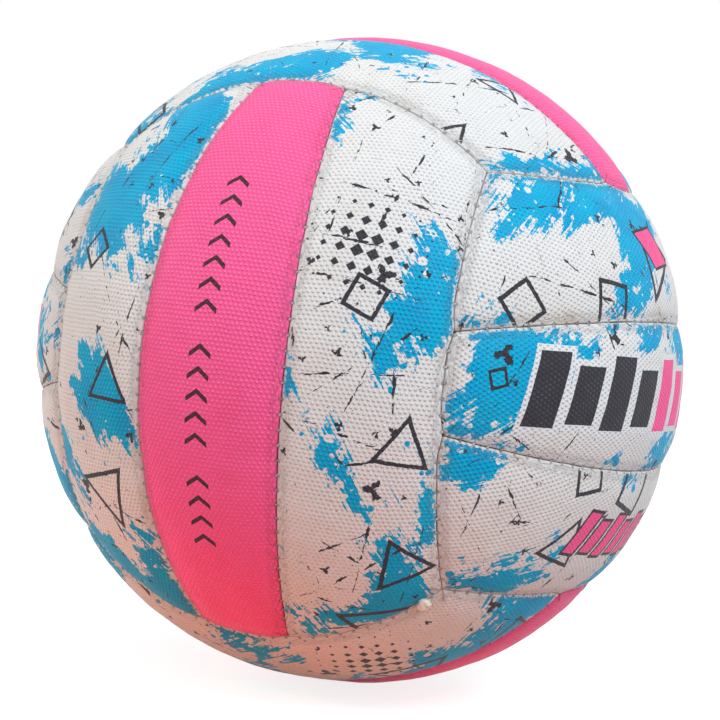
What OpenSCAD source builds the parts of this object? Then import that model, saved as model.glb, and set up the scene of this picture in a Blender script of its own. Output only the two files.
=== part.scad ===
// Netball with an 18-panel stitched cover.
// Six faces of three strips each. Opposite faces run the same way, and each face runs
// across its four neighbours. Inside the cover lie the cloth linings, the seam threads,
// and a bladder with its valve.
// The origin is the centre of the ball, +Z is up, and the front face looks along -Y.

/* [Ball] */
// Outer diameter over the crowns of the panels
ball_d = 222; // [200:1:240]
// Half angle that a middle strip spans across its width, seen from the centre of the ball
strip_angle = 12.69; // [11:0.01:14]
// Angle by which a face is narrowed at the middle of its long sides
edge_bow = 8.06; // [5:0.01:10]

/* [Cover] */
// Thickness of the pimpled rubber layer
cover_t = 0.9; // [0.7:0.1:1.4]
// Thickness of the folded edge that is turned in at a seam
fold_t = 1.2; // [1:0.1:1.6]
// Thickness of the cloth lining under the rubber
lining_t = 1.4; // [0.8:0.1:1.6]
// Clearance between two layers that lie on each other
layer_gap = 0.3; // [0.2:0.05:0.4]
// Clearance between the turned-in edges of two neighbouring panels
seam_gap = 0.3; // [0.2:0.05:0.5]
// Depth of the turned-in edges below the crowns
turn_in = 5; // [4.4:0.1:6]
// Width over which a panel rolls down to its seam
roll_w = 4.5; // [3.5:0.1:5.5]
// Depth of the groove along a seam
roll_depth = 2.3; // [1.6:0.1:2.8]
// Angle at which the roll leaves the crown
roll_entry = 6; // [4:0.5:9]

/* [Seam thread] */
// Diameter of the waxed thread
thread_d = 0.8; // [0.5:0.1:1]
// Depth of the thread below the crowns
thread_depth = 3.75; // [3.5:0.05:4]
// Clearance around the thread in its channel
thread_gap = 0.3; // [0.2:0.05:0.35]
// Distance from the end of a thread to the end of its seam
thread_stop = 2.5; // [2:0.1:5]
// Distance from the closing knot to the nearest meeting point of three faces
knot_place = 7.2; // [6:0.1:20]
// Height of the middle of the closing knot above the crowns
knot_rise = 0.4; // [0:0.1:0.8]
// Length of each loose thread end beside the knot, from the middle of the knot
knot_tail = 4.2; // [3:0.1:5]
// Depth of the loose thread ends below the crowns
tail_depth = 1.2; // [0.8:0.1:1.25]

/* [Bladder] */
// Wall thickness of the bladder
bladder_t = 0.6; // [0.4:0.1:1]
// Diameter of the patch that balances the valve
patch_d = 36; // [24:1:40]
// Thickness of that patch
patch_t = 0.8; // [0.5:0.1:1]

/* [Valve] */
// Diameter of the flange that is bonded to the bladder
flange_d = 30; // [22:1:38]
// Thickness of that flange
flange_t = 0.8; // [0.5:0.1:1]
// Diameter of the valve body inside the bladder
valve_d = 12; // [11:0.5:14]
// Length of the valve body inside the bladder, from the bladder's outside
valve_length = 18; // [16:0.5:22]
// Diameter of the valve neck in the hole of the panel
neck_d = 9; // [8.4:0.1:10]
// Depth of the neck's rim below the crowns
neck_drop = 1; // [0.8:0.1:1.1]
// Clearance between the neck and the hole in the panel
hole_gap = 0.3; // [0.2:0.05:0.6]
// Diameter of the head of the valve insert
head_d = 6.4; // [5.8:0.1:6.8]
// Thickness of that head
head_t = 1.4; // [1:0.1:2]
// Diameter of the shank of the valve insert
shank_d = 4.4; // [3.8:0.1:4.8]
// Largest diameter of the barb at the inner end of the insert
barb_d = 5.8; // [5.2:0.1:6.2]
// Length of that barb
barb_length = 2.6; // [2:0.1:3.5]
// Clearance around the insert in the valve body
insert_gap = 0.3; // [0.2:0.05:0.4]
// Diameter of the needle channel in the insert
needle_d = 2; // [1.6:0.1:2.4]
// Depth of the needle channel
needle_depth = 14; // [10:0.5:14.5]
// Thickness of the floor of the valve body
floor_t = 2; // [1.5:0.1:3]
// Diameter of the air hole in that floor
air_hole_d = 1.6; // [1:0.1:2]

/* [Hidden] */
$fn = 120;

pink_rubber = [0.96, 0.33, 0.57];
white_rubber = [0.93, 0.95, 0.97];
lining_cloth = [0.86, 0.83, 0.75];
waxed_thread = [0.9, 0.85, 0.72];
knot_thread = [0.85, 0.78, 0.6];
bladder_rubber = [0.16, 0.16, 0.17];
patch_rubber = [0.3, 0.3, 0.32];
valve_rubber = [0.2, 0.2, 0.21];
insert_rubber = [0.75, 0.76, 0.78];

ball_r = ball_d / 2;
overrun = 2; // how far cutting shapes run past what they cut
overrun_angle = overrun / ball_r * 180 / PI;
reach = ball_d; // length of the cutting shapes, well outside the ball

// The seams between faces are circles on the ball. Each passes through two corners of the
// cube of faces, and its middle is drawn in by edge_bow.
corner_c = 1 / sqrt(3);
side_tilt = atan2(sin(45 - edge_bow) - corner_c, cos(45 - edge_bow) - corner_c);
side_k = corner_c * (cos(side_tilt) - sin(side_tilt));
side_polar = acos(side_k); // angle between a side circle and its axis
side_half = asin(corner_c / sin(side_polar)); // half the arc of a side circle
strip_a = cos(side_tilt) * cos(strip_angle);
strip_b = sin(side_tilt);
strip_half = acos(side_k / norm([strip_a, strip_b])) - atan2(strip_b, strip_a);

// Profile of the rolled panel edge: an arc from the crown down to the seam
roll_sag = ball_r - sqrt(ball_r * ball_r - roll_w * roll_w);
roll_chord = atan2(roll_depth - roll_sag, roll_w);
roll_top = roll_entry - asin(roll_w / ball_r);
roll_turn = 2 * (roll_chord - roll_top);
roll_r = norm([roll_w, roll_depth - roll_sag]) / (2 * sin(roll_turn / 2));
roll_x = roll_w + roll_r * sin(roll_top);
roll_y = -roll_sag - roll_r * cos(roll_top);

turn_r = ball_r - turn_in; // where the turned-in edges end
thread_r = ball_r - thread_depth;
side_z = side_k * (ball_r - roll_depth); // height of a side circle's plane over the centre
thread_polar = acos(side_z / thread_r);
crown_inset = seam_gap / 2 + roll_w + roll_depth / 2; // where the thin crown of a panel starts
thread_margin = thread_stop / ball_r * 180 / PI;

bladder_r = turn_r - layer_gap;
patch_r = bladder_r + layer_gap; // inner face of the patch and of the valve flange

rim_r = ball_r - neck_drop;
head_seat_r = rim_r - head_t - insert_gap;
valve_end_r = bladder_r - valve_length;
barb_r = valve_end_r + floor_t + insert_gap;

// places

// Moves a shape from the front face, whose strips run up, to one of the six faces
module on_face(f) {
  turn = f == "right" || f == "left" ? [90, -90, 0]
    : f == "top" || f == "bottom" ? [-90, 0, -90] : [0, 0, 0];
  half_turn = f == "back" || f == "left" ? [0, 0, 180]
    : f == "bottom" ? [180, 0, 0] : [0, 0, 0];
  rotate(half_turn) rotate(turn) children();
}

// Turns a strip at the right of its face into the one at the left
module on_side(j) {
  rotate([0, j < 0 ? 180 : 0, 0]) children();
}

// Moves a shape with its axis up to the axis of the circle at the right side of a face
module side_axis() {
  rotate([0, 0, side_tilt]) rotate([0, 90, 0]) children();
}

// Moves a shape with its axis up to the axis of the circle at the upper or lower end of a face
module end_axis(s) {
  rotate([0, s > 0 ? 180 : 0, 0]) rotate([90 - side_tilt, 0, 0]) children();
}

// Moves a shape with its axis up to the axis of a seam between two strips
module strip_axis(s) {
  rotate([0, 0, s * strip_angle]) rotate([0, 90, 0]) children();
}

// the cover

// A shape turned around its axis along the middle of a seam, at an angle from that axis.
// Its profile is drawn with the seam at x = 0 and the radius of the ball as y.
module seam_arc(polar, half) {
  rotate([0, 0, 270 - half]) rotate_extrude(angle = 2 * half) rotate(-polar) children();
}

// What is cut away where a panel rolls down to its seam. side is 1 where the panel lies
// further from the axis than the seam, else -1.
module roll_profile(side) {
  over_scale = (ball_r + overrun) / (ball_r + roll_y);
  difference() {
    polygon([[-side * overrun, ball_r + roll_y], [side * roll_x, ball_r + roll_y],
      [side * roll_x * over_scale, ball_r + overrun], [-side * overrun, ball_r + overrun]]);
    translate([side * roll_x, ball_r + roll_y]) circle(r = roll_r);
  }
}

module roll_cut(polar, half, side) {
  seam_arc(polar, half + overrun_angle) roll_profile(side);
}

// A channel for the thread, half of it in each of the two edges at a seam
module thread_channel(polar, half) {
  seam_arc(polar, half - thread_margin / sin(polar) + 2 * thread_gap / ball_r * 180 / PI)
    translate([0, thread_r]) circle(d = thread_d + 2 * thread_gap);
}

// A half space beyond a height, wider than the ball
module beyond(height) {
  translate([-reach / 2, -reach / 2, height]) cube(reach);
}

// Everything of one strip from the centre of the ball out to a depth below the crowns,
// drawn in at its seams by an inset. j is 0 for the middle strip, else 1.
module strip_block(depth, inset, j) {
  outer_angle = 60;
  apex = j == 0 ? [0, -inset / sin(strip_angle)] : inset * [cos(strip_angle), sin(strip_angle)];
  from_angle = j == 0 ? -strip_angle : strip_angle;
  to_angle = j == 0 ? strip_angle : outer_angle;
  difference() {
    intersection() {
      rotate([0, 90, 0]) sphere(r = ball_r - depth);
      end_axis(1) beyond(side_z + inset * sin(side_polar));
      end_axis(-1) beyond(side_z + inset * sin(side_polar));
      translate([0, 0, -reach]) linear_extrude(height = 2 * reach)
        polygon([apex, apex + reach * [sin(from_angle), -cos(from_angle)],
          apex + reach * [sin(to_angle), -cos(to_angle)]]);
    }
    if (j != 0) side_axis() beyond(side_z - inset * sin(side_polar));
  }
}

// The outside of a strip with its edges rolled down to the seams
module rolled_block(j) {
  difference() {
    difference() {
      strip_block(0, seam_gap / 2, j);
      strip_axis(1) roll_cut(90, strip_half, j == 0 ? 1 : -1);
      if (j == 0) strip_axis(-1) roll_cut(90, strip_half, -1);
      if (j != 0) side_axis() roll_cut(side_polar, side_half, 1);
    }
    end_axis(1) roll_cut(side_polar, side_half, -1);
    end_axis(-1) roll_cut(side_polar, side_half, -1);
  }
}

// One panel: a thin curved sheet with folded, turned-in edges and channels for the thread
module panel_sheet(j) {
  difference() {
    rolled_block(j);
    strip_block(roll_depth + cover_t, seam_gap / 2 + fold_t, j);
    strip_block(cover_t, crown_inset, j);
    sphere(r = turn_r);
    for (s = [-1, 1]) end_axis(s) thread_channel(thread_polar, side_half);
    strip_axis(1) thread_channel(90, strip_half);
    if (j == 0) strip_axis(-1) thread_channel(90, strip_half);
    if (j != 0) side_axis() thread_channel(thread_polar, side_half);
  }
}

// The cloth that is glued under a panel, between its folded edges
module lining_sheet(j) {
  difference() {
    strip_block(cover_t + layer_gap, crown_inset + layer_gap, j);
    sphere(r = ball_r - cover_t - layer_gap - lining_t);
  }
}

module cover_panel(f, j) {
  on_face(f) on_side(j) panel_sheet(abs(j));
}

module cover_lining(f, j) {
  on_face(f) on_side(j) lining_sheet(abs(j));
}

// Moves a shape with its axis up to the valve, in the middle of a face
module at_valve(f) {
  on_face(f) rotate([90, 0, 0]) children();
}

// Cuts the hole for the valve neck through a layer of the middle strip of a face
module pierced(f) {
  difference() {
    children();
    at_valve(f) cylinder(h = ball_r + overrun, d = neck_d + 2 * hole_gap);
  }
}

// the seam threads

module thread_section() {
  translate([0, thread_r]) circle(d = thread_d);
}

module strip_threads(f) {
  on_face(f) for (s = [-1, 1])
    strip_axis(s) seam_arc(90, strip_half - thread_margin) thread_section();
}

module edge_thread(f, j) {
  on_face(f) on_side(j) side_axis()
    seam_arc(thread_polar, side_half - thread_margin / sin(side_polar)) thread_section();
}

// The knot that closes the last seam, with the two cut ends of its thread
module knot(f, j) {
  place = side_half - knot_place / (ball_r * sin(side_polar)) * 180 / PI;
  knot_r = norm([roll_x, knot_rise - roll_y]) - roll_r - layer_gap;
  on_face(f) on_side(j) side_axis() rotate([0, 0, 270 + place])
    rotate([0, side_polar, 0]) {
      translate([0, 0, ball_r + knot_rise]) sphere(r = knot_r);
      translate([0, knot_tail, ball_r - tail_depth]) rotate([90, 0, 0])
        cylinder(h = 2 * knot_tail, d = thread_d);
    }
}

// inside the cover

module inflated_bladder() {
  difference() {
    sphere(r = bladder_r);
    sphere(r = bladder_r - bladder_t);
    at_valve("back") cylinder(h = reach, d = valve_d + 2 * layer_gap);
  }
}

// A disc cut from a thin shell that lies on the bladder, around the axis up
module bladder_disc(d, t) {
  intersection() {
    difference() {
      sphere(r = patch_r + t);
      sphere(r = patch_r);
    }
    cylinder(h = reach, d = d);
  }
}

module patch_disc() {
  at_valve("front") bladder_disc(patch_d, patch_t);
}

// The valve body: a flange on the bladder, a neck out to the cover and a tube inside,
// with a stepped bore for the insert
module valve_housing() {
  at_valve("back") difference() {
    union() {
      bladder_disc(flange_d, flange_t);
      translate([0, 0, valve_end_r]) cylinder(h = patch_r + flange_t / 2 - valve_end_r, d = valve_d);
      translate([0, 0, patch_r - overrun]) cylinder(h = rim_r - patch_r + overrun, d = neck_d);
    }
    translate([0, 0, head_seat_r]) cylinder(h = ball_r, d = head_d + 2 * insert_gap);
    translate([0, 0, barb_r]) cylinder(h = ball_r, d = shank_d + 2 * insert_gap);
    translate([0, 0, valve_end_r + floor_t])
      cylinder(h = barb_length + 2 * insert_gap, d = barb_d + 2 * insert_gap);
    translate([0, 0, valve_end_r - overrun]) cylinder(h = ball_r, d = air_hole_d);
  }
}

// The insert: a soft plug with a head, a barb and a blind channel for the needle
module valve_plug() {
  at_valve("back") difference() {
    union() {
      translate([0, 0, rim_r - head_t]) cylinder(h = head_t, d = head_d);
      translate([0, 0, barb_r]) cylinder(h = rim_r - head_t / 2 - barb_r, d = shank_d);
      translate([0, 0, barb_r]) cylinder(h = barb_length, d1 = shank_d, d2 = barb_d);
    }
    translate([0, 0, rim_r - needle_depth]) cylinder(h = needle_depth + overrun, d = needle_d);
  }
}

// the pieces

module front_left_panel() {
  color(white_rubber) cover_panel("front", -1);
}
module front_centre_panel() {
  color(pink_rubber) cover_panel("front", 0);
}
module front_right_panel() {
  color(white_rubber) cover_panel("front", 1);
}
module right_lower_panel() {
  color(white_rubber) cover_panel("right", -1);
}
module right_centre_panel() {
  color(white_rubber) cover_panel("right", 0);
}
module right_upper_panel() {
  color(white_rubber) cover_panel("right", 1);
}
module back_right_panel() {
  color(white_rubber) cover_panel("back", -1);
}
module back_centre_panel() {
  color(pink_rubber) pierced("back") cover_panel("back", 0);
}
module back_left_panel() {
  color(white_rubber) cover_panel("back", 1);
}
module left_lower_panel() {
  color(white_rubber) cover_panel("left", -1);
}
module left_centre_panel() {
  color(white_rubber) cover_panel("left", 0);
}
module left_upper_panel() {
  color(white_rubber) cover_panel("left", 1);
}
module top_rear_panel() {
  color(white_rubber) cover_panel("top", -1);
}
module top_centre_panel() {
  color(pink_rubber) cover_panel("top", 0);
}
module top_front_panel() {
  color(white_rubber) cover_panel("top", 1);
}
module bottom_front_panel() {
  color(white_rubber) cover_panel("bottom", -1);
}
module bottom_centre_panel() {
  color(pink_rubber) cover_panel("bottom", 0);
}
module bottom_rear_panel() {
  color(white_rubber) cover_panel("bottom", 1);
}
module front_left_lining() {
  color(lining_cloth) cover_lining("front", -1);
}
module front_centre_lining() {
  color(lining_cloth) cover_lining("front", 0);
}
module front_right_lining() {
  color(lining_cloth) cover_lining("front", 1);
}
module right_lower_lining() {
  color(lining_cloth) cover_lining("right", -1);
}
module right_centre_lining() {
  color(lining_cloth) cover_lining("right", 0);
}
module right_upper_lining() {
  color(lining_cloth) cover_lining("right", 1);
}
module back_right_lining() {
  color(lining_cloth) cover_lining("back", -1);
}
module back_centre_lining() {
  color(lining_cloth) pierced("back") cover_lining("back", 0);
}
module back_left_lining() {
  color(lining_cloth) cover_lining("back", 1);
}
module left_lower_lining() {
  color(lining_cloth) cover_lining("left", -1);
}
module left_centre_lining() {
  color(lining_cloth) cover_lining("left", 0);
}
module left_upper_lining() {
  color(lining_cloth) cover_lining("left", 1);
}
module top_rear_lining() {
  color(lining_cloth) cover_lining("top", -1);
}
module top_centre_lining() {
  color(lining_cloth) cover_lining("top", 0);
}
module top_front_lining() {
  color(lining_cloth) cover_lining("top", 1);
}
module bottom_front_lining() {
  color(lining_cloth) cover_lining("bottom", -1);
}
module bottom_centre_lining() {
  color(lining_cloth) cover_lining("bottom", 0);
}
module bottom_rear_lining() {
  color(lining_cloth) cover_lining("bottom", 1);
}
module front_strip_threads() {
  color(waxed_thread) strip_threads("front");
}
module right_strip_threads() {
  color(waxed_thread) strip_threads("right");
}
module back_strip_threads() {
  color(waxed_thread) strip_threads("back");
}
module left_strip_threads() {
  color(waxed_thread) strip_threads("left");
}
module top_strip_threads() {
  color(waxed_thread) strip_threads("top");
}
module bottom_strip_threads() {
  color(waxed_thread) strip_threads("bottom");
}
module front_left_edge_thread() {
  color(waxed_thread) edge_thread("front", -1);
}
module front_right_edge_thread() {
  color(waxed_thread) edge_thread("front", 1);
}
module right_bottom_edge_thread() {
  color(waxed_thread) edge_thread("right", -1);
}
module right_top_edge_thread() {
  color(waxed_thread) edge_thread("right", 1);
}
module back_right_edge_thread() {
  color(waxed_thread) edge_thread("back", -1);
}
module back_left_edge_thread() {
  color(waxed_thread) edge_thread("back", 1);
}
module left_bottom_edge_thread() {
  color(waxed_thread) edge_thread("left", -1);
}
module left_top_edge_thread() {
  color(waxed_thread) edge_thread("left", 1);
}
module top_rear_edge_thread() {
  color(waxed_thread) edge_thread("top", -1);
}
module top_front_edge_thread() {
  color(waxed_thread) edge_thread("top", 1);
}
module bottom_front_edge_thread() {
  color(waxed_thread) edge_thread("bottom", -1);
}
module bottom_rear_edge_thread() {
  color(waxed_thread) edge_thread("bottom", 1);
}
module closing_knot() {
  color(knot_thread) knot("bottom", -1);
}
module bladder() {
  color(bladder_rubber) inflated_bladder();
}
module balance_patch() {
  color(patch_rubber) patch_disc();
}
module valve_body() {
  color(valve_rubber) valve_housing();
}
module valve_insert() {
  color(insert_rubber) valve_plug();
}

front_left_panel();
front_centre_panel();
front_right_panel();
right_lower_panel();
right_centre_panel();
right_upper_panel();
back_right_panel();
back_centre_panel();
back_left_panel();
left_lower_panel();
left_centre_panel();
left_upper_panel();
top_rear_panel();
top_centre_panel();
top_front_panel();
bottom_front_panel();
bottom_centre_panel();
bottom_rear_panel();
front_left_lining();
front_centre_lining();
front_right_lining();
right_lower_lining();
right_centre_lining();
right_upper_lining();
back_right_lining();
back_centre_lining();
back_left_lining();
left_lower_lining();
left_centre_lining();
left_upper_lining();
top_rear_lining();
top_centre_lining();
top_front_lining();
bottom_front_lining();
bottom_centre_lining();
bottom_rear_lining();
front_strip_threads();
right_strip_threads();
back_strip_threads();
left_strip_threads();
top_strip_threads();
bottom_strip_threads();
front_left_edge_thread();
front_right_edge_thread();
right_bottom_edge_thread();
right_top_edge_thread();
back_right_edge_thread();
back_left_edge_thread();
left_bottom_edge_thread();
left_top_edge_thread();
top_rear_edge_thread();
top_front_edge_thread();
bottom_front_edge_thread();
bottom_rear_edge_thread();
closing_knot();
bladder();
balance_patch();
valve_body();
valve_insert();
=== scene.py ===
"""A used netball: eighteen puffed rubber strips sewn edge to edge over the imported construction."""

import math

import bmesh
import bpy
from mathutils import Matrix, Vector, noise


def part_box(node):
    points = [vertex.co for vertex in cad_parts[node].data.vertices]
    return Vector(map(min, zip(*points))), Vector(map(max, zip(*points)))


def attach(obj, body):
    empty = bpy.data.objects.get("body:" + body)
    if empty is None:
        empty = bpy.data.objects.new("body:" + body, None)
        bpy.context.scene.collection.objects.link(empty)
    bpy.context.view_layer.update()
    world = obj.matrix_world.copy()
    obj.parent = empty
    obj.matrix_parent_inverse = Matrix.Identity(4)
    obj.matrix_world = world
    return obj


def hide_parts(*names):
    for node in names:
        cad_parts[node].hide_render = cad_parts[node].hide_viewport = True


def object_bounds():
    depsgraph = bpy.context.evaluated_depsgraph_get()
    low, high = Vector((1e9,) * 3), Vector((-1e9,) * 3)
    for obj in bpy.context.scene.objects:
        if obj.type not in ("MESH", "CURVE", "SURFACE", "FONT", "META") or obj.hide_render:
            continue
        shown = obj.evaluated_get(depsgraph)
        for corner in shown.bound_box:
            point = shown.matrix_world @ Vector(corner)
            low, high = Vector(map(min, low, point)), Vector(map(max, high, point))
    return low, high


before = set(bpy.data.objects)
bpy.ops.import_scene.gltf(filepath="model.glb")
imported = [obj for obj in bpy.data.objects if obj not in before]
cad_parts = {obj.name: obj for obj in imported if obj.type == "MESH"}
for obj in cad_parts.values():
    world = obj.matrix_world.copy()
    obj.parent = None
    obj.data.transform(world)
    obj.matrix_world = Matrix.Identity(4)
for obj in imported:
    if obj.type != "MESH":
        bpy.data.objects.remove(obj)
cad_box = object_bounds()

noise.seed_set(12)   # vector noise follows the clock unless it is seeded

MM = 0.001
BALL_R = (cad_box[1].x - cad_box[0].x) / 2

# Angles of the seams, as in the construction: half the angle that a middle strip spans, and
# the angle by which a face is narrowed at the middle of its long sides
STRIP_ANGLE = math.radians(12.69)
EDGE_BOW = math.radians(8.06)
CORNER = 1 / math.sqrt(3)
SIDE_TILT = math.atan2(math.sin(math.pi / 4 - EDGE_BOW) - CORNER,
                       math.cos(math.pi / 4 - EDGE_BOW) - CORNER)
SIDE_SHARE = CORNER * (math.cos(SIDE_TILT) - math.sin(SIDE_TILT))
SIDE_HALF = math.asin(CORNER / math.sqrt(1 - SIDE_SHARE ** 2))

# The puffed panel, in metres
CROWN = 0.55 * MM           # the middle of a panel stands this far outside the ball's radius
SHOULDER = 1.0 * MM         # the panel's edge lies this far inside it, before it rolls down
CROWN_REACH = 15 * MM       # distance from the seam at which the crown is full
CROWN_POWER = 2.3
GROOVE_DEPTH = 0.95 * MM
GROOVE_WIDTH = 0.19 * MM
GROOVE_PATCH = 9 * MM       # distance over which the seams are pressed in more or less
STRIP_CORNER = 1.3 * MM     # radius of the corners where strips meet a long seam
FACE_CORNER = 0.35 * MM     # and of the corners where three faces meet
CORNER_POWER = 3.5          # a low power lets the corners of a panel roll down more
SKIN = 0.8 * MM             # thickness of the rubber
STITCH_PITCH = 4.7 * MM
PUCKER_DEPTH = 0.24 * MM
PUCKER_WIDTH = 1.4 * MM
PUCKER_PATCH = 7 * MM       # distance over which the stitches pull more or less
CRUMPLE = 0.14 * MM
CRUMPLE_PLACE = 1.9 * MM    # distance of the crumples from the seam
CRUMPLE_WIDTH = 1.6 * MM
CRUMPLE_FINE = 1.5 * MM
CRUMPLE_COARSE = 3.4 * MM
SWELL = 0.22 * MM           # slow unevenness of the whole surface
SWELL_PATCH = 17 * MM
HAND_WANDER = 0.34 * MM     # how far the hand-sewn seams wander from their true line
WANDER_SLOW = 34 * MM
WANDER_QUICK = 6 * MM
END_PUSH = 1.15 * MM        # how far a long seam bulges in between the corners of two strips
END_REACH = 4.6 * MM        # and how far from the corners
THREAD_D = 0.8 * MM
KNOT_HALVES = (2.4 * MM, 1.9 * MM, 1.7 * MM)   # half the knot's length, width and height
VALVE_HOLE_R = 4.8 * MM
PRINT_SHIFT = Vector((0.613, 0.271))   # from one panel's place on the printed sheet to the next
CHEVRON_PITCH = 6.6         # in millimetres, as all the prints are

# Where the rows of a panel's mesh lie: distance from the seam, then depth below the ball's radius
RIM_ROWS = ((0.5 * MM, 4.7 * MM), (0.1 * MM, 3.0 * MM))
EDGE_ROWS = [row * MM for row in (0.06, 0.14, 0.27, 0.45, 0.7, 1.0, 1.35, 1.75, 2.2, 2.7, 3.3,
                                  4.0, 4.8, 5.7, 6.7)]
ACROSS_STEP = 1.0 * MM
ALONG_STEP = 0.85 * MM

X, Y, Z = Vector((1, 0, 0)), Vector((0, 1, 0)), Vector((0, 0, 1))

# Each face: the way it looks, the way across its strips, the way along them, and its strips' names
FACES = {
    "front": (-Y, X, Z, ("left", "centre", "right")),
    "right": (X, Z, -Y, ("lower", "centre", "upper")),
    "back": (Y, -X, Z, ("right", "centre", "left")),
    "left": (-X, Z, Y, ("lower", "centre", "upper")),
    "top": (Z, -Y, X, ("rear", "centre", "front")),
    "bottom": (-Z, Y, X, ("front", "centre", "rear")),
}
# The two long sides of each face, as its edge threads are named
FACE_SIDES = {
    "front": ("left", "right"), "right": ("bottom", "top"), "back": ("right", "left"),
    "left": ("bottom", "top"), "top": ("rear", "front"), "bottom": ("front", "rear"),
}
PINK_FACES = ("front", "back", "top", "bottom")


# Seams

class Seam:
    """A circle on the ball: its axis, the height of its plane as a share of the radius, the way
    from the axis to its middle, and the way along it there"""

    def __init__(self, axis, share, middle, along):
        self.axis = axis
        self.polar = math.acos(share)
        self.middle = middle
        self.along = along
        self.run_r = BALL_R * math.sin(self.polar)

    def distance(self, way):
        """Distance over the ball from a direction to the seam"""
        return BALL_R * abs(math.acos(max(-1.0, min(1.0, way.dot(self.axis)))) - self.polar)

    def run(self, way):
        """Distance along the seam from its middle"""
        return self.run_r * math.atan2(way.dot(self.along), abs(way.dot(self.middle)))

    def point(self, run, radius, aside=0.0):
        """A point at a distance along the seam, a radius and a distance to the axis's side"""
        turn = run / self.run_r
        polar = self.polar - aside / BALL_R
        ring = self.middle * math.cos(turn) + self.along * math.sin(turn)
        return (self.axis * math.cos(polar) + ring * math.sin(polar)) * radius


def strip_seam(face, side):
    """The seam between the middle strip of a face and the one beside it"""
    look, across, along, _ = FACES[face]
    axis = across * (side * math.cos(STRIP_ANGLE)) - look * math.sin(STRIP_ANGLE)
    middle = look * math.cos(STRIP_ANGLE) + across * (side * math.sin(STRIP_ANGLE))
    return Seam(axis, 0.0, middle, along)


def side_seam(face, side):
    """The seam along a long side of a face, where its neighbours' strips end"""
    look, across, along, _ = FACES[face]
    axis = across * (side * math.cos(SIDE_TILT)) - look * math.sin(SIDE_TILT)
    middle = look * math.cos(SIDE_TILT) + across * (side * math.sin(SIDE_TILT))
    return Seam(axis, SIDE_SHARE, middle, along)


def end_seam(face, side):
    """The seam at one end of a face's strips, which is a long side of the neighbour there"""
    look, across, along, _ = FACES[face]
    axis = look * math.cos(SIDE_TILT) - along * (side * math.sin(SIDE_TILT))
    return Seam(axis, SIDE_SHARE, axis.cross(across), across)


def end_latitude(longitude):
    """How far along a face its strips reach, at an angle across them"""
    a = math.cos(SIDE_TILT) * math.cos(longitude)
    b = math.sin(SIDE_TILT)
    return math.acos(SIDE_SHARE / math.hypot(a, b)) - math.atan2(b, a)


def side_longitude(latitude):
    """How far across a face reaches, at an angle along its strips"""
    return SIDE_TILT + math.asin(min(1.0, SIDE_SHARE / math.cos(latitude)))


def ball_way(look, across, along, longitude, latitude):
    """The direction from the ball's middle to a point of a face"""
    ring = look * math.cos(longitude) + across * math.sin(longitude)
    return ring * math.cos(latitude) + along * math.sin(latitude)


def strip_ends():
    """The three points, in one eighth of the ball, where two strips end at a long seam, each
    with the way from there along the strips"""
    latitude = end_latitude(STRIP_ANGLE)
    for look, across, along in ((Y, X, Z), (X, Z, Y), (Z, Y, X)):
        place = ball_way(look, across, along, STRIP_ANGLE, latitude) * BALL_R
        yield place, ball_way(look, across, along, STRIP_ANGLE, latitude - math.pi / 2)


STRIP_ENDS = list(strip_ends())


def wander(point):
    """Moves a point a little, the same way for all that lies near it, as hand sewing does, and
    bulges the long seams in between the strips that end there"""
    slow = noise.noise_vector(point / WANDER_SLOW)
    quick = noise.noise_vector(point / WANDER_QUICK)
    moved = point + slow * (HAND_WANDER * 0.6) + quick * (HAND_WANDER * 0.4)
    eighth = Vector(abs(c) for c in point)
    for place, way in STRIP_ENDS:
        near = (eighth - place).length / END_REACH
        if near < 3:
            push = way * (END_PUSH * math.exp(-near ** 2))
            moved += Vector(math.copysign(1, c) * p for c, p in zip(point, push))
    return moved


# Panels

def stations(least, step):
    """Rows of a mesh from one edge to the other: which edge each is placed from, its distance
    from there or its share of the stretch between, and its depth if it is turned in"""
    edge = [(place, depth) for place, depth in RIM_ROWS] + [(place, None) for place in EDGE_ROWS]
    inner = max(4, round((least - 2 * EDGE_ROWS[-1]) / step))
    rows = [("near", place, depth) for place, depth in edge]
    rows += [("between", (i + 1) / (inner + 1), None) for i in range(inner)]
    rows += [("far", place, depth) for place, depth in reversed(edge)]
    return rows


def station_place(row, length):
    """Distance of a row from the near edge"""
    kind, value, _ = row
    if kind == "near":
        return value
    if kind == "far":
        return length - value
    margin = EDGE_ROWS[-1]
    return margin + value * (length - 2 * margin)


def panel_height(reach, place):
    """Height of a panel's surface over the ball's radius, at a distance from the seams"""
    rise = 1 - (1 - min(reach / CROWN_REACH, 1.0)) ** CROWN_POWER
    pressed = 1 + 0.7 * noise.noise(place / GROOVE_PATCH)
    groove = GROOVE_DEPTH * pressed * math.exp(-reach / (GROOVE_WIDTH * pressed))
    return -SHOULDER + (CROWN + SHOULDER) * rise - groove


def seam_relief(way, distances, seams):
    """Puckers at the stitches and small crumples beside the seams"""
    relief = 0.0
    for distance, seam in zip(distances, seams):
        if distance > 5 * PUCKER_WIDTH:
            continue
        run = seam.run(way)
        place = way * BALL_R
        pull = 0.5 + 0.5 * math.cos(2 * math.pi * run / STITCH_PITCH)
        strength = 0.75 + 0.9 * noise.noise(place / PUCKER_PATCH)
        relief -= PUCKER_DEPTH * strength * pull ** 2 * math.exp(-distance / PUCKER_WIDTH)
        crumple = noise.noise(place / CRUMPLE_FINE) + 0.6 * noise.noise(place / CRUMPLE_COARSE)
        band = math.exp(-((distance - CRUMPLE_PLACE) / CRUMPLE_WIDTH) ** 2)
        relief += CRUMPLE * crumple * band
    return relief


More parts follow.
